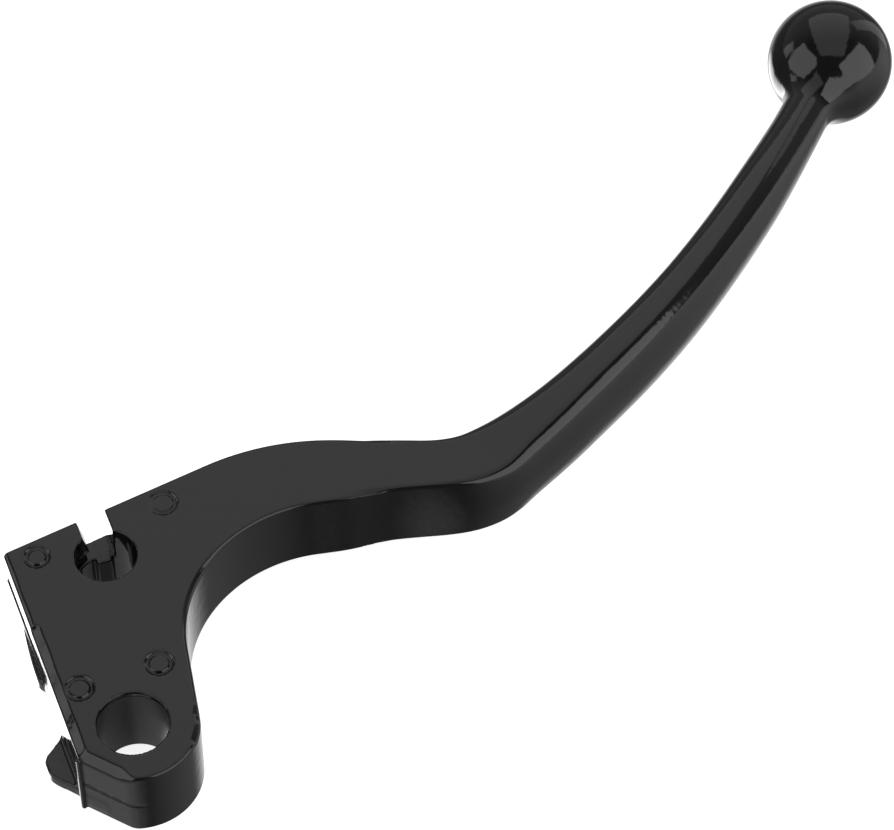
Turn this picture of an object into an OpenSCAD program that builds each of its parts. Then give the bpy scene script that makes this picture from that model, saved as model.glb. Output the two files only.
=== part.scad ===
// Motorcycle clutch lever: a die-cast aluminium lever that swings on a bush round the perch's pivot bolt.
// Millimetres. The origin is on the pivot axis at half the head's thickness. +X points to the centre of
// the ball end, and +Z is the pivot axis. Angles in the plane are measured from +X.

/* [Head] */
// Thickness of the flat head
head_t = 12.5; // [11.5:0.1:13.5]
// Radius of the round nose about the pivot axis
nose_r = 9.2; // [9:0.1:9.6]
// Distance from the pivot axis to the straight rear edge
rear_edge_d = 8.5; // [8.2:0.1:8.8]
// Direction of the rear edge
rear_edge_w = 58.8; // [57:0.1:60]
// Distance from the pivot axis to the straight top edge
top_edge_d = 34.8; // [34:0.1:36]
// Direction of the top edge
top_edge_w = -22; // [-24:0.5:-20]
// Direction of the short straight edge between the nose and the inner bend
waist_w = 49; // [47:0.5:51]
// Radius of the inner bend, on the finger side
inner_bend_r = 21; // [20:0.5:22]
// Distance along X from the pivot axis to the middle of the inner bend
inner_bend_x = 30.4; // [30:0.1:31]
// Distance along the rear edge from the pivot's foot to the nose corner
nose_corner_along = -2.6; // [-3.2:0.1:-2]
// Radius of the outer shoulder
shoulder_r = 36; // [35:0.5:37]
// Distance along X from the pivot axis to the start of the outer shoulder
shoulder_x = 40; // [39:0.5:41]

/* [Pivot] */
// Inner diameter of the bush, and of the lip that covers it
pivot_d = 10; // [9:0.1:10]
// Wall of the bush
bush_wall = 1; // [0.8:0.1:1.2]
// Radial running clearance between the bush and its pocket
bush_gap = 0.03; // [0.02:0.01:0.05]
// Thickness of the lip over the bush
lip_t = 0.8; // [0.6:0.1:1.2]
// Gap between the bush's end and the lip
bush_end_gap = 0.05; // [0.03:0.01:0.1]

/* [Cable seat] */
// Diameter of the seat for the cable's barrel end
seat_d = 8.8; // [8.2:0.1:9]
// Distance along X from the pivot axis to the seat's axis
seat_x = 19; // [18:0.1:20]
// Distance along Y from the pivot axis to the seat's axis
seat_y = 21.8; // [21:0.1:22.5]
// Width of the notch that the cable passes on its way in
notch_w = 4.4; // [3:0.1:5]
// Height of the notch's and the slot's floor above the mid plane
slot_z = 0.2; // [0:0.1:0.5]
// Height of the cable slot
slot_h = 2; // [1.6:0.1:2.4]
// Length of the slot's mouth along the rear edge, from the corner
slot_mouth_l = 17.8; // [16:0.1:18]

/* [Switch tab] */
// How far the tab stands out of the rear edge
tab_reach = 3.5; // [2.5:0.1:4]
// Thickness of the tab
tab_t = 2; // [1.5:0.1:3]
// Height of the tab's underside above the head's underside
tab_z = 1.2; // [0.5:0.1:2]
// Width of the tab where it meets the rear edge
tab_base_w = 9.6; // [8:0.1:10]
// Width of the tab at its tip
tab_tip_w = 2.8; // [2:0.1:4]

/* [Blade and ball] */
// Distance from the pivot axis to the centre of the ball
ball_x = 165.7; // [160:0.1:170]
// Diameter of the ball
ball_d = 19.6; // [18:0.1:20]
// Radius of the curve that the blade follows
blade_curve_r = 193; // [185:1:200]
// Distance along X to the lowest point of the blade's curve
blade_low_x = 98; // [96:0.5:99]
// Distance of that lowest point below the X axis
blade_drop = 11.4; // [11:0.1:12]
// Width of the blade at its thick end
blade_w_thick = 9.4; // [9:0.1:10]
// Width of the blade just before the ball
blade_w_thin = 7.2; // [7:0.1:8]
// Height of the blade where it is tallest
blade_h = 14; // [13:0.1:14.5]
// Radius of the curve of the blade's upper and lower edges, seen from the side
blade_edge_curve_r = 595; // [550:5:650]

/* [Hidden] */
$fn = 96;
sides = 24;
cut = 1;

half_t = head_t / 2;
pocket_r = pivot_d / 2 + bush_wall + bush_gap;
bush_h = head_t - lip_t - bush_end_gap;
seat = [seat_x, seat_y];

// The casting's outline
function polar(r, w) = [r * cos(w), r * sin(w)];
function arc(centre, r, from, to, steps) =
    [for (i = [0 : steps]) centre + polar(r, from + (to - from) * i / steps)];

// A point at a distance out from the pivot axis and a distance along a line in direction w
function beside(w, along, out) = along * polar(1, w) + out * polar(1, w + 90);

corner_turn = rear_edge_w - top_edge_w;
corner_along = (top_edge_d - rear_edge_d * cos(corner_turn)) / sin(corner_turn);
head_corner = beside(rear_edge_w, corner_along, rear_edge_d);
flat_nose_w = 218;
nose_corner = beside(rear_edge_w, nose_corner_along, rear_edge_d);

inner_bend_y = (inner_bend_x * sin(waist_w) - nose_r - inner_bend_r) / cos(waist_w);
inner_bend = [inner_bend_x, inner_bend_y];
inner_line_w = -42;
shoulder_start_y = (top_edge_d + shoulder_x * sin(top_edge_w)) / cos(top_edge_w);
shoulder = [shoulder_x, shoulder_start_y] - polar(shoulder_r, top_edge_w + 90);
shoulder_end_w = -57;
plate_end_l = 8;

head_outline = concat(
    [nose_corner],
    arc([0, 0], nose_r, flat_nose_w - 360, waist_w - 90, 30),
    arc(inner_bend, inner_bend_r, waist_w + 90, inner_line_w + 90, 20),
    [inner_bend + polar(inner_bend_r, inner_line_w + 90) + polar(plate_end_l, inner_line_w)],
    arc(shoulder, shoulder_r, shoulder_end_w + 90, top_edge_w + 90, 8),
    [head_corner]
);

// The arm: stations of [x, y, half width, half height, squareness], squareness 2 being an ellipse
function blade_y(x) = blade_curve_r - blade_drop - sqrt(pow(blade_curve_r, 2) - pow(x - blade_low_x, 2));
blade_from = 78;
blade_to = ball_x - 15;
blade_tall_x = 100;
function blade_part(x) = (x - blade_from) / (blade_to - blade_from);
function blade_half_w(x) = (blade_w_thick + (blade_w_thin - blade_w_thick) * blade_part(x)) / 2;
function blade_half_h(x) = blade_h / 2 - pow(x - blade_tall_x, 2) / (2 * blade_edge_curve_r);
function station(x, extra, squareness) =
    [x, blade_y(x), blade_half_w(x) + extra, blade_half_h(x) + extra, squareness];

neck_stations = [
    [42, 13.3, 5.7, 6.2, 9],
    [48, 8.8, 5.6, 6.2, 9],
    [53.4, 4.2, 5.7, 6.2, 8],
    [57.2, 0, 5.1, 6.2, 7],
    [60.7, -3.9, 4.8, 6.2, 6],
    [64.2, -7, 4.9, 6.2, 5],
    [68.2, -8.85, 5.3, 6.2, 4],
    [72.5, -9.65, 5.1, 6.35, 3.6]
];
blade_stations = [for (i = [0 : 6]) station(blade_from + i * 11.5, 0, 3.4 - 0.2 * i)];
flare_stations = [
    station(blade_to + 2, 0.1, 2.1),
    station(blade_to + 5, 0.7, 2),
    station(blade_to + 7.5, 1.6, 2),
    station(blade_to + 11, 2, 2)
];
stations = concat(neck_stations, blade_stations, flare_stations);

// A smooth curve through the stations, from Catmull and Rom
function smooth_at(a, b, c, d, t) =
    0.5 * (2 * b + (c - a) * t + (2 * a - 5 * b + 4 * c - d) * t * t + (3 * b - a - 3 * c + d) * t * t * t);
function pick(list, i) = list[max(0, min(len(list) - 1, i))];
steps = 2;
last_ring = (len(stations) - 1) * steps;
rings = [for (k = [0 : last_ring])
    let (i = floor(k / steps), t = k / steps - i)
    smooth_at(pick(stations, i - 1), pick(stations, i), pick(stations, i + 1), pick(stations, i + 2), t)];

function side_power(value, squareness) = sign(value) * pow(abs(value), 2 / squareness);
function heading(i) =
    let (step = pick(rings, i + 1) - pick(rings, i - 1))
    [step[0], step[1]] / norm([step[0], step[1]]);
function ring_point(i, w) =
    let (ring = rings[i], ahead = heading(i), across = ring[2] * side_power(cos(w), ring[4]))
    [ring[0] - ahead[1] * across, ring[1] + ahead[0] * across, ring[3] * side_power(sin(w), ring[4])];

module head_plate() {
    translate([0, 0, -half_t])
        linear_extrude(head_t)
            polygon(head_outline);
}

module arm() {
    points = [for (i = [0 : last_ring], k = [0 : sides - 1]) ring_point(i, 360 * (k + 0.5) / sides)];
    skin = [for (i = [0 : last_ring - 1], k = [0 : sides - 1])
        let (next = (k + 1) % sides)
        each [
            [i * sides + k, (i + 1) * sides + next, i * sides + next],
            [i * sides + k, (i + 1) * sides + k, (i + 1) * sides + next]
        ]];
    first_cap = [for (k = [0 : sides - 1]) k];
    last_cap = [for (k = [sides - 1 : -1 : 0]) last_ring * sides + k];
    polyhedron(points, concat(skin, [first_cap, last_cap]), convexity = 4);
}

module switch_tab() {
    base_from = -2;
    base_to = base_from + tab_base_w;
    tip_mid = 3.4;
    root = rear_edge_d - cut;
    tip = rear_edge_d + tab_reach;
    rotate([0, 0, rear_edge_w])
        translate([0, 0, tab_z - half_t])
            linear_extrude(tab_t)
                polygon([
                    [base_from, root],
                    [base_from, rear_edge_d],
                    [tip_mid - tab_tip_w / 2, tip],
                    [tip_mid + tab_tip_w / 2, tip],
                    [base_to, rear_edge_d],
                    [base_to, root]
                ]);
}

// The pocket for the bush, under a lip whose hole is as wide as the bush's own bore
module pivot_cut() {
    translate([0, 0, -half_t - cut])
        cylinder(h = head_t - lip_t + cut, r = pocket_r);
    cylinder(h = half_t + cut, d = pivot_d);
}

module seat_cut() {
    translate([seat_x, seat_y, -half_t - cut])
        cylinder(h = head_t + 2 * cut, d = seat_d);
}

// The notch runs from the seat out through the top edge, down to the slot's floor
notch_l = 20;
module notch_cut() {
    translate([seat_x, seat_y, slot_z])
        rotate([0, 0, rear_edge_w])
            translate([0, -notch_w / 2, 0])
                cube([notch_l, notch_w, half_t]);
}

// The slot lets the cable swing from the middle of the notch round to the rear edge
module slot_cut() {
    past_edge = 6;
    slot_side_w = -101;
    inside_seat = 0.9 * seat_d / 2;
    mouth_end = beside(rear_edge_w, corner_along - slot_mouth_l, rear_edge_d);
    translate([0, 0, slot_z])
        linear_extrude(slot_h)
            polygon([
                seat + polar(inside_seat, slot_side_w),
                seat,
                seat + polar(notch_l, rear_edge_w),
                head_corner + polar(past_edge, rear_edge_w) + polar(past_edge, rear_edge_w + 90),
                mouth_end + polar(past_edge, rear_edge_w + 90)
            ]);
}

// The bevel between the upper face and the rear edge, below the cable slot's corner
module rear_bevel_cut() {
    bevel_w = 1;
    bevel_h = 2;
    bevel_from = -6;
    bevel_to = 20.4;
    rotate([0, 0, rear_edge_w])
        translate([bevel_from, rear_edge_d, half_t])
            rotate([90, 0, 90])
                linear_extrude(bevel_to - bevel_from)
                    polygon([[-bevel_w, 0], [-bevel_w, cut], [cut, cut], [cut, -bevel_h], [0, -bevel_h]]);
}

module lever_casting() {
    color([0.05, 0.05, 0.055])
        difference() {
            union() {
                head_plate();
                arm();
                translate([ball_x, 0, 0])
                    sphere(d = ball_d);
                switch_tab();
            }
            pivot_cut();
            seat_cut();
            notch_cut();
            slot_cut();
            rear_bevel_cut();
        }
}

module pivot_bush() {
    color([0.1, 0.1, 0.1])
        translate([0, 0, -half_t])
            difference() {
                cylinder(h = bush_h, r = pivot_d / 2 + bush_wall);
                translate([0, 0, -cut])
                    cylinder(h = bush_h + 2 * cut, d = pivot_d);
            }
}

lever_casting();
pivot_bush();
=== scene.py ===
import math

import bpy
import numpy as np
from mathutils import Matrix, Vector


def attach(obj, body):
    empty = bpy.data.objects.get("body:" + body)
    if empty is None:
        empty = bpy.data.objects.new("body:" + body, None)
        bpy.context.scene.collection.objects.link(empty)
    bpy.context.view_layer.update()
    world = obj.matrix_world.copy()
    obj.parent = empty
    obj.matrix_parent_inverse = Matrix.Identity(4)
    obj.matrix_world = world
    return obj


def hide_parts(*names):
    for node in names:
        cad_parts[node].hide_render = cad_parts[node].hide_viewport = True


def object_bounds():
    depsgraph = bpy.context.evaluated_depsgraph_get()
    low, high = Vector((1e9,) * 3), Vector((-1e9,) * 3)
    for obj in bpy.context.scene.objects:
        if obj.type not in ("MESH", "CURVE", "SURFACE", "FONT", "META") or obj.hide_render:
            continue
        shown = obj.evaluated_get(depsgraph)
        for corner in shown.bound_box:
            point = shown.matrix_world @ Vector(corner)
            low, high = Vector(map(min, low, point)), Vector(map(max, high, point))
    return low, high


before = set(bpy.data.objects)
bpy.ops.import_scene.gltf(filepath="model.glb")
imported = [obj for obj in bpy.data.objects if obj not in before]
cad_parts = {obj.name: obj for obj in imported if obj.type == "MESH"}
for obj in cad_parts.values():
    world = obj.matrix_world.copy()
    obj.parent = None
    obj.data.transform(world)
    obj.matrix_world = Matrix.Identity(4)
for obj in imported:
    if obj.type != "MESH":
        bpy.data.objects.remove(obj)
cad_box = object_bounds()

MM = 0.001

# The view from the camera: the way it faces in plan and how far it looks down, in degrees
VIEW_W = 38.5
VIEW_DOWN = 51.5

# Sizes of the casting, in millimetres and degrees, in the row frame: origin on the pivot axis at half the
# head's thickness, +X to the ball, +Z out of the upper face. The values of the outline, the holes and the
# ball repeat the CAD model's. REAR_W and the other names in _W are directions, but HALF_W is a half width.
HALF_T = 6.25
NOSE_R = 9.2
REAR_D = 8.5
REAR_W = 58.8
TOP_D = 34.8
TOP_W = -22
WAIST_W = 49
BEND_R = 21
BEND_X = 30.4
NECK_W = -42
SHOULDER_R = 36
SHOULDER_X = 40
SHOULDER_END_W = -57
NOSE_CORNER_ALONG = -2.6
FLAT_NOSE_W = 218

# The pivot bore, the bush's pocket under its lip, the cable seat, its notch and its slot
BORE_R = 5.0
POCKET_R = 6.03
LIP_Z = 5.45
SEAT = (19.0, 21.8)
SEAT_R = 4.4
NOTCH_HALF_W = 2.2
SLOT_LOW = 0.2
SLOT_HIGH = 2.2
SLOT_SIDE_W = -101
SLOT_START = 0.9 * SEAT_R
SLOT_MOUTH_L = 17.8

BALL_X = 165.7
BALL_R = 9.8

# How round the edges are, and how wide the blends are where one shape runs into the next
EDGE_R = 0.45
HOLE_EDGE_R = 0.25
CORNER_K = 0.35
BALL_BLEND = 3.2
TAB_BLEND = 0.9

# Ejector marks: x, y, radius of the ring, depth
EJECTORS = [
    (12.8, 29.2, 1.55, 0.34),
    (31.0, 21.6, 1.8, 0.2),
    (9.8, 3.8, 1.7, 0.34),
    (-0.2, 9.6, 1.75, 0.34),
]
EJECTOR_RING_HALF_W = 0.48

# Chamfers on the upper edge, left and right as the camera sees them, and the bevel over the rear wall, which
# has a step in it
NOSE_LEFT_CHAMFER = 1.3
NOSE_RIGHT_CHAMFER = 0.8
WAIST_CHAMFER = 0.6
BEVEL = 1.3
BEVEL_PAST_STEP = 0.55
BEVEL_STEP_AT = 20
BEVEL_STEP_L = 0.5

# The mould's parting line and the fin on the nose's corner
PARTING_Z = -0.4
PARTING_HALF_W = 0.35
PARTING_DEPTH = 0.14
FIN_R = 0.4
FIN_OUT = 0.15
FIN_TOP = 5.4

# How far the lip and the switch tab run back into the head
ROOT_L = 2

# The lip under the slot's mouth: where it starts and ends along the rear wall, how far it reaches out of the
# wall, how far its ends lie under it, and its height and thickness
LIP_FROM = 13
LIP_TO = 32
LIP_REACH = 0.95
LIP_SUNK = 0.2
LIP_MIDDLE_Z = -1.9
LIP_HALF_T = 1.2

# The switch tab on the rear wall. Its two ends slant: each has a place along the wall and a normal, given
# as its parts along the wall and out of it.
TAB_FROM = -2.0
TAB_FROM_NORMAL = (-0.668, 0.744)
TAB_TO = 7.6
TAB_TO_NORMAL = (0.78, 0.626)
TAB_REACH = 3.5
TAB_MIDDLE_Z = -4.05
TAB_HALF_T = 1.0

# How far the notch's wall nearer the rear edge leans in for each millimetre down
NOTCH_LEAN = 0.23

# The tongue that carries the notch's floor into the seat, by distances from the seat's centre: its start and
# end towards the notch, its sides nearer the rear wall and farther from it, and its underside
TONGUE_FROM = 3.4
TONGUE_TO = 5.5
TONGUE_NEAR = 0.6
TONGUE_FAR = 1.8
TONGUE_LOW = 5.8

# Where the head's shape passes into the arm's, and over what length
ARM_START = (50, 7)
ARM_BLEND_L = 14


def polar(r, w):
    """The point at distance r in the direction w."""
    return np.array([r * math.cos(math.radians(w)), r * math.sin(math.radians(w))])


def along(x, y, w):
    """Distance of points along the direction w."""
    d = polar(1, w)
    return x * d[0] + y * d[1]


# Blends of distance fields: k is the width of the blend in millimetres
def soft_max(a, b, k):
    h = np.maximum(k - np.abs(a - b), 0) / k
    return np.maximum(a, b) + h * h * k / 4


def soft_min(a, b, k):
    return -soft_max(-a, -b, k)


def round_edge(a, b, r):
    """Where two walls meet, an outside edge of radius r."""
    u = a + r
    v = b + r
    return np.minimum(np.maximum(u, v), 0) + np.hypot(np.maximum(u, 0), np.maximum(v, 0)) - r


def bell(d, half_w):
    """A smooth bump round d = 0."""
    t = np.clip(1 - (d / half_w) ** 2, 0, 1)
    return t * t


def smooth_step(a, b, t):
    """0 before a, 1 after b."""
    t = np.clip((t - a) / (b - a), 0, 1)
    return t * t * (3 - 2 * t)


def between(rise, fall, t):
    """1 between the two spans and 0 outside them: it climbs over rise and drops over fall."""
    return smooth_step(*rise, t) * (1 - smooth_step(*fall, t))


def spline(knots, values):
    """A natural cubic spline. The function that it returns gives the value and its two derivatives."""
    xs = np.array(knots, float)
    ys = np.array(values, float)
    n = len(xs)
    h = np.diff(xs)
    a = np.eye(n)
    b = np.zeros(n)
    for i in range(1, n - 1):
        a[i, i - 1:i + 2] = h[i - 1], 2 * (h[i - 1] + h[i]), h[i]
        b[i] = 6 * ((ys[i + 1] - ys[i]) / h[i] - (ys[i] - ys[i - 1]) / h[i - 1])
    # The second derivative at each knot
    m = np.linalg.solve(a, b)

    def at(x):
        i = np.clip(np.searchsorted(xs, x) - 1, 0, n - 2)
        t = np.clip(x, xs[0], xs[-1]) - xs[i]
        slope = (ys[i + 1] - ys[i]) / h[i] - h[i] * (2 * m[i] + m[i + 1]) / 6
        third = (m[i + 1] - m[i]) / h[i]
        value = ys[i] + t * (slope + t * (m[i] / 2 + t * third / 6))
        first = slope + t * (m[i] + t * third / 2)
        beyond = x - np.clip(x, xs[0], xs[-1])
        return value + beyond * first, first, m[i] + t * third

    return at


# The arm's stations, in millimetres: x and y of the centre line, half width, half height, edge radius, and
# radius of the bulging sides
STATIONS = [
    (36, 17.4, 5.7, 6.25, 0.45, 900),
    (42, 13.3, 5.7, 6.25, 0.45, 600),
    (48, 9, 5.5, 6.25, 0.45, 400),
    (53.4, 4.7, 5.1, 6.25, 0.45, 250),
    (57.2, 0.2, 4.7, 6.22, 0.5, 120),
    (60.7, -3.9, 4.6, 6.2, 0.6, 60),
    (64.2, -7, 5, 6.2, 0.9, 34),
    (68.2, -8.85, 5.4, 6.25, 1.35, 22),
    (72, -9.6, 5.2, 6.45, 1.65, 17),
    (76, -10.2, 4.9, 6.65, 1.72, 16),
    (82, -10.85, 4.6, 6.88, 1.78, 16),
    (88, -11.18, 4.42, 7, 1.9, 16),
    (96, -11.42, 4.3, 7.05, 1.8, 16),
    (104, -11.35, 4.18, 7.05, 1.7, 16),
    (112, -10.9, 4.07, 6.95, 1.75, 16),
    (120, -10.05, 3.97, 6.75, 1.85, 16),
    (128, -8.9, 3.9, 6.45, 2.05, 16),
    (136, -7.5, 3.85, 6.1, 2.3, 16),
    (144, -5.85, 3.7, 5.45, 2.75, 16),
    (150, -4.46, 3.62, 4.95, 3.1, 16),
    (156, -2.9, 3.7, 4.4, 3.4, 16),
    (BALL_X, -0.3, 3.8, 4.1, 3.5, 16),
]
CENTRE, HALF_W, HALF_H, EDGE, BULGE = [
    spline([s[0] for s in STATIONS], [s[k] for s in STATIONS]) for k in range(1, 6)
]
LEAST_BULGE_R = 10


# The head's outline: points and centres that its walls are made from
NOSE_CORNER = NOSE_CORNER_ALONG * polar(1, REAR_W) + REAR_D * polar(1, REAR_W + 90)
REAR_TO_TOP = math.radians(REAR_W - TOP_W)
CORNER_ALONG = (TOP_D - REAR_D * math.cos(REAR_TO_TOP)) / math.sin(REAR_TO_TOP)
BEND = np.array([
    BEND_X,
    (BEND_X * math.sin(math.radians(WAIST_W)) - NOSE_R - BEND_R) / math.cos(math.radians(WAIST_W)),
])
SHOULDER_START = np.array([
    SHOULDER_X,
    (TOP_D + SHOULDER_X * math.sin(math.radians(TOP_W))) / math.cos(math.radians(TOP_W)),
])
SHOULDER = SHOULDER_START - polar(SHOULDER_R, TOP_W + 90)


def finger_side(x, y):
    """Nose, waist, inner bend and neck line: negative inside the metal."""
    nose = np.hypot(x, y) - NOSE_R
    waist = along(x, y, WAIST_W - 90) - NOSE_R
    bx = x - BEND[0]
    by = y - BEND[1]
    bend = BEND_R - np.hypot(bx, by)
    neck = BEND_R - along(bx, by, NECK_W + 90)
    t = along(x, y, WAIST_W)
    bend_from = along(BEND[0], BEND[1], WAIST_W)
    q = along(bx, by, NECK_W)
    return np.where(t < 0, nose, np.where(t < bend_from, waist, np.where(q < 0, bend, neck)))


def back_side(x, y):
    """Top edge and outer shoulder."""
    top = along(x, y, TOP_W + 90) - TOP_D
    sx = x - SHOULDER[0]
    sy = y - SHOULDER[1]
    shoulder = np.hypot(sx, sy) - SHOULDER_R
    end = along(sx, sy, SHOULDER_END_W + 90) - SHOULDER_R
    start = along(SHOULDER_START[0], SHOULDER_START[1], TOP_W)
    return np.where(
        along(x, y, TOP_W) < start, top, np.where(along(sx, sy, SHOULDER_END_W) < 0, shoulder, end)
    )


def rear_wall(x, y):
    """How far out of the rear wall points are."""
    return along(x, y, REAR_W + 90) - REAR_D


def nose_flank(x, y):
    """The flat wall between the nose's corner and its round front."""
    run = polar(NOSE_R, FLAT_NOSE_W) - NOSE_CORNER
    w = math.degrees(math.atan2(run[1], run[0])) - 90
    return along(x - NOSE_CORNER[0], y - NOSE_CORNER[1], w)


def ejector_marks(x, y):
    """How far the ejector pins' marks lower the face. Their rings are uneven and their discs shallow."""
    depth = 0
    for mx, my, r, deep in EJECTORS:
        d = np.hypot(x - mx, y - my)
        w = np.arctan2(my - y, mx - x)
        unevenness = 1 + 0.4 * np.sin(w + 2 * mx) + 0.2 * np.sin(3 * w)
        ring = unevenness * bell(d - r, EJECTOR_RING_HALF_W)
        disc = 0.35 * (1 - smooth_step(r - 0.3, r, d))
        depth = depth + deep * (ring + disc)
    return depth


def nose_direction(x, y):
    """The direction of points from the pivot axis, in degrees."""
    return np.degrees(np.arctan2(y, x)) % 360


def finger_chamfer(x, y):
    """Width of the chamfer on the finger side's upper edge: broad on the nose's left, none at its front."""
    w = nose_direction(x, y)
    left = NOSE_LEFT_CHAMFER * between((150, 156), (205, 232), w)
    right = NOSE_RIGHT_CHAMFER * between((282, 292), (318, 332), w)
    waist = WAIST_CHAMFER * smooth_step(-2, 4, along(x, y, WAIST_W)) * (1 - smooth_step(24, 34, x))
    return left + right + waist


def parting_line(x, y, z):
    """The groove left by the mould's joint, which shows on the nose's left only."""
    shown = between((160, 170), (215, 235), nose_direction(x, y))
    return PARTING_DEPTH * bell(z - PARTING_Z, PARTING_HALF_W) * shown


def plate(x, y, z):
    """The flat head, with its edges, chamfers and marks."""
    finger = soft_max(finger_side(x, y), nose_flank(x, y), CORNER_K)
    outline = soft_max(finger, back_side(x, y), CORNER_K)
    outline = soft_max(outline, rear_wall(x, y), CORNER_K) + parting_line(x, y, z)
    faces = np.where(z > 0, z - HALF_T + ejector_marks(x, y), -z - HALF_T)
    body = round_edge(outline, faces, EDGE_R)
    chamfer = (finger + z - HALF_T + finger_chamfer(x, y)) * math.sqrt(0.5)
    body = soft_max(body, chamfer, 0.3)
    body = soft_max(body, rear_bevel(x, y, z), 0.2)
    return soft_min(body, corner_fin(x, y, z), 0.15)


def rear_bevel(x, y, z):
    """The bevel between the upper face and the rear wall: broad up to its step, then narrow."""
    u = along(x, y, REAR_W)
    past_step = np.clip((u - BEVEL_STEP_AT) / BEVEL_STEP_L, 0, 1)
    wave = 0.04 * np.sin(0.9 * u)
    width = BEVEL + (BEVEL_PAST_STEP - BEVEL) * past_step + wave
    return (rear_wall(x, y) + z - HALF_T + width) * math.sqrt(0.5)


def corner_fin(x, y, z):
    """A fin of flash that runs down the corner between nose and rear wall."""
    middle = NOSE_CORNER * (1 + FIN_OUT / np.linalg.norm(NOSE_CORNER))
    fin = np.hypot(x - middle[0], y - middle[1]) - FIN_R
    return soft_max(fin, np.maximum(z - FIN_TOP, -z - HALF_T), 0.3)


def slot_lip(x, y, z):
    """The lip under the slot's mouth. It stands out of the rear wall and ends in a point."""
    u = along(x, y, REAR_W)
    wall = rear_wall(x, y)
    reach = LIP_REACH * between((14.2, 16.5), (17, 31), u) - LIP_SUNK
    depth = np.maximum(wall - reach, -wall - ROOT_L)
    ends = np.maximum(LIP_FROM - u, u - LIP_TO)
    height = np.abs(z - LIP_MIDDLE_Z) - LIP_HALF_T
    return soft_max(depth, np.maximum(height, ends), 0.5)


def arm(x, y, z):
    """The neck and the blade: rounded sections across the centre line."""
    # Newton's method, four steps: s becomes the x of the centre line's nearest point
    s = x.copy()
    for _ in range(4):
        cy, slope, curve = CENTRE(s)
        gap = s - x + (cy - y) * slope
        s = s - gap / (1 + slope ** 2 + (cy - y) * curve)
    cy, slope, curve = CENTRE(s)
    across = ((y - cy) - slope * (x - s)) / np.sqrt(1 + slope ** 2)
    side = np.abs(across) - HALF_W(s)[0] + z * z / (2 * np.maximum(BULGE(s)[0], LEAST_BULGE_R))
    shape = round_edge(side, np.abs(z) - HALF_H(s)[0], EDGE(s)[0])
    return np.maximum(shape, x - BALL_X)


def ball(x, y, z):
    """The ball on the blade's end."""
    return np.sqrt((x - BALL_X) ** 2 + y ** 2 + z ** 2) - BALL_R


def switch_tab(x, y, z):
    """The tab that works the clutch switch."""
    u = along(x, y, REAR_W)
    out = rear_wall(x, y)
    first_end = (u - TAB_FROM) * TAB_FROM_NORMAL[0] + out * TAB_FROM_NORMAL[1]
    last_end = (u - TAB_TO) * TAB_TO_NORMAL[0] + out * TAB_TO_NORMAL[1]
    outline = soft_max(soft_max(first_end, last_end, 0.4), out - TAB_REACH, 0.8)
    outline = soft_max(outline, -out - ROOT_L, 0.1)
    return round_edge(outline, np.abs(z - TAB_MIDDLE_Z) - TAB_HALF_T, 0.35)


def from_seat(x, y):
    """Distances from the seat's centre, along the rear wall and across towards it."""
    sx = x - SEAT[0]
    sy = y - SEAT[1]
    return along(sx, sy, REAR_W), along(sx, sy, REAR_W + 90)


def slot(x, y, z):
    """The slot that lets the cable swing round to the rear edge."""
    mouth = (CORNER_ALONG - SLOT_MOUTH_L) * polar(1, REAR_W) + REAR_D * polar(1, REAR_W + 90)
    start = np.array(SEAT) + polar(SLOT_START, SLOT_SIDE_W)
    run = mouth - start
    w = math.degrees(math.atan2(run[1], run[0]))
    low_side = along(x - start[0], y - start[1], w + 90)
    across = from_seat(x, y)[1]
    height = np.maximum(SLOT_LOW - z, z - SLOT_HIGH)
    return soft_max(soft_max(low_side, -across, 0.3), height, 0.2)


def notch(x, y, z):
    """The notch from the seat to the top edge. Its wall nearer the rear edge leans in."""
    out, across = from_seat(x, y)
    lean = (HALF_T - z) * NOTCH_LEAN
    side = np.maximum(-across - NOTCH_HALF_W, across - NOTCH_HALF_W + lean)
    return soft_max(soft_max(side, -out, 0.2), SLOT_LOW - z, 0.3)


def seat_tongue(x, y, z):
    """The notch's floor runs on a little way into the seat."""
    out, across = from_seat(x, y)
    side = np.maximum(-across - TONGUE_FAR, across - TONGUE_NEAR)
    ends = np.maximum(TONGUE_FROM - out, out - TONGUE_TO)
    return soft_max(soft_max(side, ends, 0.3), np.maximum(z - SLOT_LOW, -z - TONGUE_LOW), 0.3)


def holes(x, y, z):
    """The pivot bore, the bush's pocket and the cable seat."""
    bore = np.hypot(x, y)
    pivot = bore - BORE_R
    pocket = np.maximum(bore - POCKET_R, z - LIP_Z)
    seat = np.hypot(x - SEAT[0], y - SEAT[1]) - SEAT_R
    return pivot, pocket, seat


def casting(x, y, z):
    """The whole casting's distance field, negative in the metal, in millimetres."""
    head = plate(x, y, z)
    swept = arm(x, y, z)
    t = smooth_step(0, ARM_BLEND_L, along(x - ARM_START[0], y - ARM_START[1], NECK_W))
    shape = np.where(t >= 1, swept, head * (1 - t) + swept * t)
    shape = soft_min(shape, ball(x, y, z), BALL_BLEND)
    shape = soft_min(shape, switch_tab(x, y, z), TAB_BLEND)
    shape = soft_min(shape, slot_lip(x, y, z), 0.3)
    pivot, pocket, seat = holes(x, y, z)
    shape = soft_max(shape, -seat, HOLE_EDGE_R)
    shape = soft_min(shape, seat_tongue(x, y, z), 0.2)
    shape = soft_max(shape, -pivot, HOLE_EDGE_R)
    shape = np.maximum(shape, -pocket)
    shape = soft_max(shape, -notch(x, y, z), HOLE_EDGE_R)
    return soft_max(shape, -slot(x, y, z), HOLE_EDGE_R)


def axis(start, *runs):
    """Grid lines along one axis, from start on: each run has the place where it ends and its spacing."""
    lines = [start]
    for end, spacing in runs:
        count = max(1, round((end - lines[-1]) / spacing))
        lines += list(np.linspace(lines[-1], end, count + 1)[1:])
    return np.array(lines)


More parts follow.
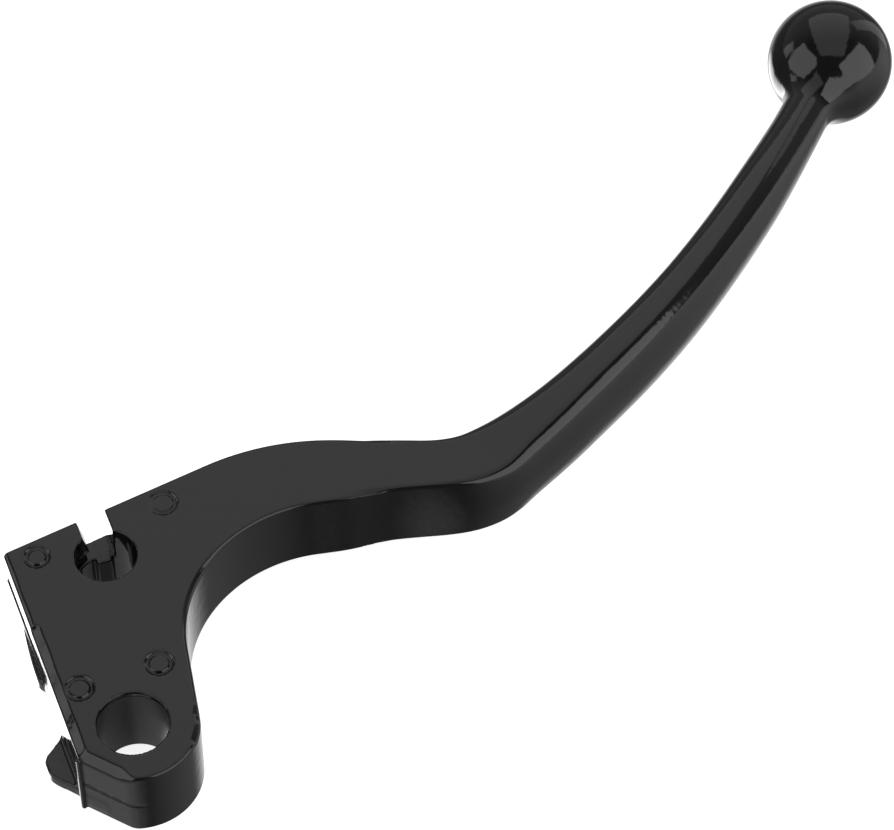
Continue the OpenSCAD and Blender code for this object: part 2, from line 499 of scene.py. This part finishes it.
def field_on_grid(gx, gy, gz):
    """The casting's field on the whole grid, worked out a slab at a time to save memory."""
    values = np.empty((len(gx), len(gy), len(gz)), np.float32)
    slab = 16
    for i in range(0, len(gx), slab):
        x, y, z = np.meshgrid(gx[i:i + slab], gy, gz, indexing="ij")
        values[i:i + slab] = casting(x, y, z)
    return values


def surface(gx, gy, gz):
    """Vertices and quads of the field's zero surface.

    Each grid cell that the surface crosses has a vertex, in the middle of its crossings of the cell's edges.
    Each crossed edge has a quad, which joins the vertices of the four cells round it.
    """
    f = field_on_grid(gx, gy, gz)
    lines = (gx, gy, gz)
    cells = tuple(len(g) - 1 for g in lines)
    total = np.zeros((int(np.prod(cells)), 3))
    count = np.zeros(int(np.prod(cells)))
    quads = []
    # a is the axis that the edges run along, b and c are the other two
    for a in range(3):
        b, c = (a + 1) % 3, (a + 2) % 3
        low = np.take(f, range(f.shape[a] - 1), axis=a)
        high = np.take(f, range(1, f.shape[a]), axis=a)
        at = np.argwhere((low < 0) != (high < 0))
        inside = (at[:, b] > 0) & (at[:, b] < cells[b]) & (at[:, c] > 0) & (at[:, c] < cells[c])
        at = at[inside]
        f0 = low[tuple(at.T)]
        f1 = high[tuple(at.T)]
        point = np.stack([lines[k][at[:, k]] for k in range(3)], 1)
        point[:, a] += (lines[a][at[:, a] + 1] - lines[a][at[:, a]]) * f0 / (f0 - f1)
        ring = []
        for db, dc in ((0, 0), (-1, 0), (-1, -1), (0, -1)):
            cell = at.copy()
            cell[:, b] += db
            cell[:, c] += dc
            key = np.ravel_multi_index(tuple(cell.T), cells)
            for k in range(3):
                total[:, k] += np.bincount(key, point[:, k], len(count))
            count += np.bincount(key, minlength=len(count))
            ring.append(key)
        ring = np.stack(ring, 1)
        quads.append(np.where((f0 < 0)[:, None], ring, ring[:, ::-1]))
    quads = np.concatenate(quads)
    used = np.flatnonzero(count)
    number = np.full(len(count), -1)
    number[used] = np.arange(len(used))
    return total[used] / count[used, None], number[quads]


def slope_at(points, reach):
    """The field's direction and steepness at points, from its values at a small reach on each side."""
    change = [casting(*(points + d).T) - casting(*(points - d).T) for d in reach * np.eye(3)]
    slope = np.stack(change, 1) / (2 * reach)
    steepness = np.linalg.norm(slope, axis=1)
    nearly_zero = 1e-9
    return slope / (steepness[:, None] + nearly_zero), steepness


def casting_mesh():
    """The casting's skin: its points lie on the field's zero surface and have that surface's normals."""
    fine = 0.35
    # The lines stand closest in the head and near its two faces, and none lies in a face
    gx = axis(-14.1, (62.0, fine), (155.0, 0.65), (177.0, 0.45))
    gy = axis(-19.1, (35.1, fine))
    gz = axis(-10.3, (-6.8, 0.5), (-5.6, 0.22), (4.0, 0.4), (6.8, 0.18), (10.3, 0.5))
    points, quads = surface(gx, gy, gz)
    most_move = 0.2
    least_steepness = 0.3
    for _ in range(2):
        normal, steepness = slope_at(points, 0.02)
        move = np.clip(casting(*points.T) / np.maximum(steepness, least_steepness), -most_move, most_move)
        points = points - normal * move[:, None]
    normal = slope_at(points, 0.01)[0]
    mesh = bpy.data.meshes.new("lever_casting_shape")
    mesh.from_pydata((points * MM).tolist(), [], quads.tolist())
    mesh.validate()
    mesh.update()
    mesh.polygons.foreach_set("use_smooth", np.ones(len(mesh.polygons), bool))
    mesh.normals_split_custom_set_from_vertices(normal.tolist())
    return mesh


class Finish:
    """A material under construction. Its patterns are noise in the piece's own coordinates, in metres."""

    def __init__(self, name):
        self.material = bpy.data.materials.new(name)
        self.material.use_nodes = True
        self.nodes = self.material.node_tree.nodes
        self.links = self.material.node_tree.links
        self.shader = self.nodes["Principled BSDF"]
        self.shader.inputs["IOR"].default_value = 1.5

    def noise(self, scale, detail):
        place = self.nodes.new("ShaderNodeTexCoord")
        node = self.nodes.new("ShaderNodeTexNoise")
        node.inputs["Scale"].default_value = scale
        node.inputs["Detail"].default_value = detail
        self.links.new(place.outputs["Object"], node.inputs["Vector"])
        return node.outputs["Fac"]

    def bump(self, height, strength, depth):
        node = self.nodes.new("ShaderNodeBump")
        node.inputs["Strength"].default_value = strength
        node.inputs["Distance"].default_value = depth
        self.links.new(height, node.inputs["Height"])
        self.links.new(node.outputs["Normal"], self.shader.inputs["Normal"])

    def roughness(self, pattern, pattern_range, low, high):
        node = self.nodes.new("ShaderNodeMapRange")
        node.inputs["From Min"].default_value = pattern_range[0]
        node.inputs["From Max"].default_value = pattern_range[1]
        node.inputs["To Min"].default_value = low
        node.inputs["To Max"].default_value = high
        self.links.new(pattern, node.inputs["Value"])
        self.links.new(node.outputs["Result"], self.shader.inputs["Roughness"])

    def tint(self, pattern, dark, light):
        node = self.nodes.new("ShaderNodeValToRGB")
        node.color_ramp.elements[0].color = dark
        node.color_ramp.elements[1].color = light
        self.links.new(pattern, node.inputs["Fac"])
        self.links.new(node.outputs["Color"], self.shader.inputs["Base Color"])


def black_paint():
    """Gloss black paint, with a slight orange peel and a gloss that varies from place to place."""
    finish = Finish("black_paint")
    finish.shader.inputs["Base Color"].default_value = (0.004, 0.004, 0.0042, 1)
    finish.bump(finish.noise(scale=700, detail=1.5), strength=0.3, depth=0.0001)
    finish.roughness(finish.noise(scale=60, detail=4), pattern_range=(0.3, 0.7), low=0.06, high=0.14)
    return finish.material


def bush_plastic():
    """The bush's dark plastic, with a fine grain."""
    finish = Finish("bush_liner")
    grain = finish.noise(scale=900, detail=5)
    finish.tint(grain, dark=(0.012, 0.012, 0.013, 1), light=(0.035, 0.035, 0.037, 1))
    finish.roughness(grain, pattern_range=(0, 1), low=0.3, high=0.5)
    finish.bump(grain, strength=0.2, depth=0.00005)
    return finish.material


def paint(obj, mat):
    obj.data.materials.clear()
    obj.data.materials.append(mat)


def make_casting():
    obj = bpy.data.objects.new("lever_casting_body", casting_mesh())
    bpy.context.scene.collection.objects.link(obj)
    paint(obj, black_paint())
    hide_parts("lever_casting")
    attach(obj, "lever")


def heading(azimuth, elevation=0):
    """The unit vector towards an azimuth and an elevation, in degrees."""
    a = math.radians(azimuth)
    e = math.radians(elevation)
    return Vector((math.cos(a) * math.cos(e), math.sin(a) * math.cos(e), math.sin(e)))


def make_camera():
    """The photograph's view: a long lens that looks down across the lever."""
    data = bpy.data.cameras.new("camera")
    data.lens = 160
    data.sensor_width = 36
    data.clip_start = 0.01
    obj = bpy.data.objects.new("camera", data)
    bpy.context.scene.collection.objects.link(obj)
    forward = heading(VIEW_W, -VIEW_DOWN)
    target = Vector((0.0725, 0.003, 0))
    distance = 0.5825
    turned = forward.to_track_quat("-Z", "Y").to_matrix().to_4x4()
    obj.matrix_world = Matrix.Translation(target - forward * distance) @ turned
    bpy.context.scene.camera = obj


# The softboxes are placed round this point of the lever
STAGE_MIDDLE = Vector((0.09, 0, 0))


def area_light(name, size, radiance, place):
    """A rectangular light that glows evenly. It shines along its own -Z, and cameras don't see it."""
    data = bpy.data.lights.new(name, "AREA")
    data.shape = "RECTANGLE"
    data.size, data.size_y = size
    energy_for_radiance = 4
    data.energy = energy_for_radiance * radiance * size[0] * size[1]
    obj = bpy.data.objects.new(name, data)
    bpy.context.scene.collection.objects.link(obj)
    obj.matrix_world = place
    obj.visible_camera = False


def softbox(name, azimuth, elevation, half_wide, half_high, radiance):
    """A softbox that faces the lever, by the direction it stands in and the angles that it fills."""
    out = heading(azimuth, elevation)
    distance = 1.4
    wide, high = [2 * distance * math.tan(math.radians(half)) for half in (half_wide, half_high)]
    turned = out.to_track_quat("Z", "Y").to_matrix().to_4x4()
    area_light(name, (wide, high), radiance, Matrix.Translation(STAGE_MIDDLE + out * distance) @ turned)


def overhead_box():
    """The large softbox over the lever. It leans down towards the side away from the camera."""
    lean = 19.3
    past_middle = 0.23
    height = 1.0745
    across = heading(VIEW_W - 90)
    down_far = heading(VIEW_W, -lean)
    middle = STAGE_MIDDLE + heading(VIEW_W) * past_middle + Vector((0, 0, height))
    turned = Matrix((across, down_far, across.cross(down_far))).transposed().to_4x4()
    area_light("overhead_box", size=(1.24, 2.26), radiance=0.48, place=Matrix.Translation(middle) @ turned)


def make_lights():
    overhead_box()
    softbox("right_box", azimuth=-84, elevation=25, half_wide=32, half_high=25, radiance=1.4)
    softbox("left_box", azimuth=156, elevation=25, half_wide=31, half_high=24, radiance=1.1)
    softbox("back_strip", azimuth=-6, elevation=8, half_wide=8, half_high=30, radiance=0.45)
    softbox("left_strip", azimuth=112, elevation=11, half_wide=8, half_high=10, radiance=0.8)


def make_floor():
    """Pale paper just under the lever. It glows a little, and the gloss of the paint doesn't show it."""
    gap = 0.0002
    low = cad_box[0].z - gap
    half = 3.0
    corners = [(-half, -half, low), (half, -half, low), (half, half, low), (-half, half, low)]
    mesh = bpy.data.meshes.new("floor")
    mesh.from_pydata(corners, [], [(0, 1, 2, 3)])
    obj = bpy.data.objects.new("floor", mesh)
    bpy.context.scene.collection.objects.link(obj)
    mat = bpy.data.materials.new("floor_paper")
    mat.use_nodes = True
    shader = mat.node_tree.nodes["Principled BSDF"]
    shader.inputs["Base Color"].default_value = (0.85, 0.85, 0.85, 1)
    shader.inputs["Roughness"].default_value = 0.9
    shader.inputs["Emission Color"].default_value = (1, 1, 1, 1)
    shader.inputs["Emission Strength"].default_value = 0.8
    paint(obj, mat)
    obj.visible_glossy = False


class Room:
    """Brightness of the room by direction, built from nodes. Each call returns the socket of a new node."""

    def __init__(self, world):
        self.nodes = world.node_tree.nodes
        self.links = world.node_tree.links
        self.direction = self.nodes.new("ShaderNodeTexCoord").outputs["Generated"]
        parts = self.nodes.new("ShaderNodeSeparateXYZ")
        self.links.new(self.direction, parts.inputs["Vector"])
        self.height = parts.outputs["Z"]

    def ramp(self, value, span, brightness):
        """A smooth step: over the span of values, from the first brightness to the second."""
        node = self.nodes.new("ShaderNodeMapRange")
        node.interpolation_type = "SMOOTHSTEP"
        for key, number in zip(("From Min", "From Max", "To Min", "To Max"), (*span, *brightness)):
            node.inputs[key].default_value = number
        self.links.new(value, node.inputs["Value"])
        return node.outputs["Result"]

    def towards(self, azimuth, elevation, span, brightness):
        """A smooth step towards one part of the room. The span is in cosines of the angle from there."""
        dot = self.nodes.new("ShaderNodeVectorMath")
        dot.operation = "DOT_PRODUCT"
        dot.inputs[1].default_value = heading(azimuth, elevation)
        self.links.new(self.direction, dot.inputs[0])
        return self.ramp(dot.outputs["Value"], span, brightness)

    def combined(self, operation, *values):
        """Two or more sockets or numbers, put together one after the other."""
        total = values[0]
        for value in values[1:]:
            node = self.nodes.new("ShaderNodeMath")
            node.operation = operation
            for socket, given in zip(node.inputs, (total, value)):
                if isinstance(given, (int, float)):
                    socket.default_value = given
                else:
                    self.links.new(given, socket)
            total = node.outputs["Value"]
        return total


def make_world():
    """The dim room round the lights. Its lower half is the brighter table that the paint reflects."""
    world = bpy.data.worlds.new("studio")
    bpy.context.scene.world = world
    world.use_nodes = True
    background = world.node_tree.nodes["Background"]
    background.inputs["Color"].default_value = (1, 1, 1, 1)
    room = Room(world)
    below = room.combined("LESS_THAN", room.height, 0.0)
    above = room.combined("SUBTRACT", 1.0, below)
    walls = room.towards(VIEW_W, 0, (-0.1, 0.6), (0.08, 0.3))
    right = room.combined(
        "MULTIPLY",
        room.ramp(room.height, (-0.8, 0.0), (0.24, 0.9)),
        room.towards(-62, -25, (0.5, 0.92), (0.1, 1.0)),
    )
    table = room.combined(
        "ADD",
        right,
        room.towards(86, -50, (0.94, 0.985), (0.0, 3.0)),
        room.towards(170, -45, (0.7, 0.9), (0.0, 0.45)),
        room.towards(45, -50, (0.75, 0.98), (0.05, 0.95)),
    )
    radiance = room.combined(
        "ADD", room.combined("MULTIPLY", walls, above), room.combined("MULTIPLY", table, below)
    )
    room.links.new(radiance, background.inputs["Strength"])


make_casting()
paint(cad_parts["pivot_bush"], bush_plastic())
make_camera()
make_floor()
make_world()
make_lights()

bpy.context.scene.view_settings.view_transform = "Standard"
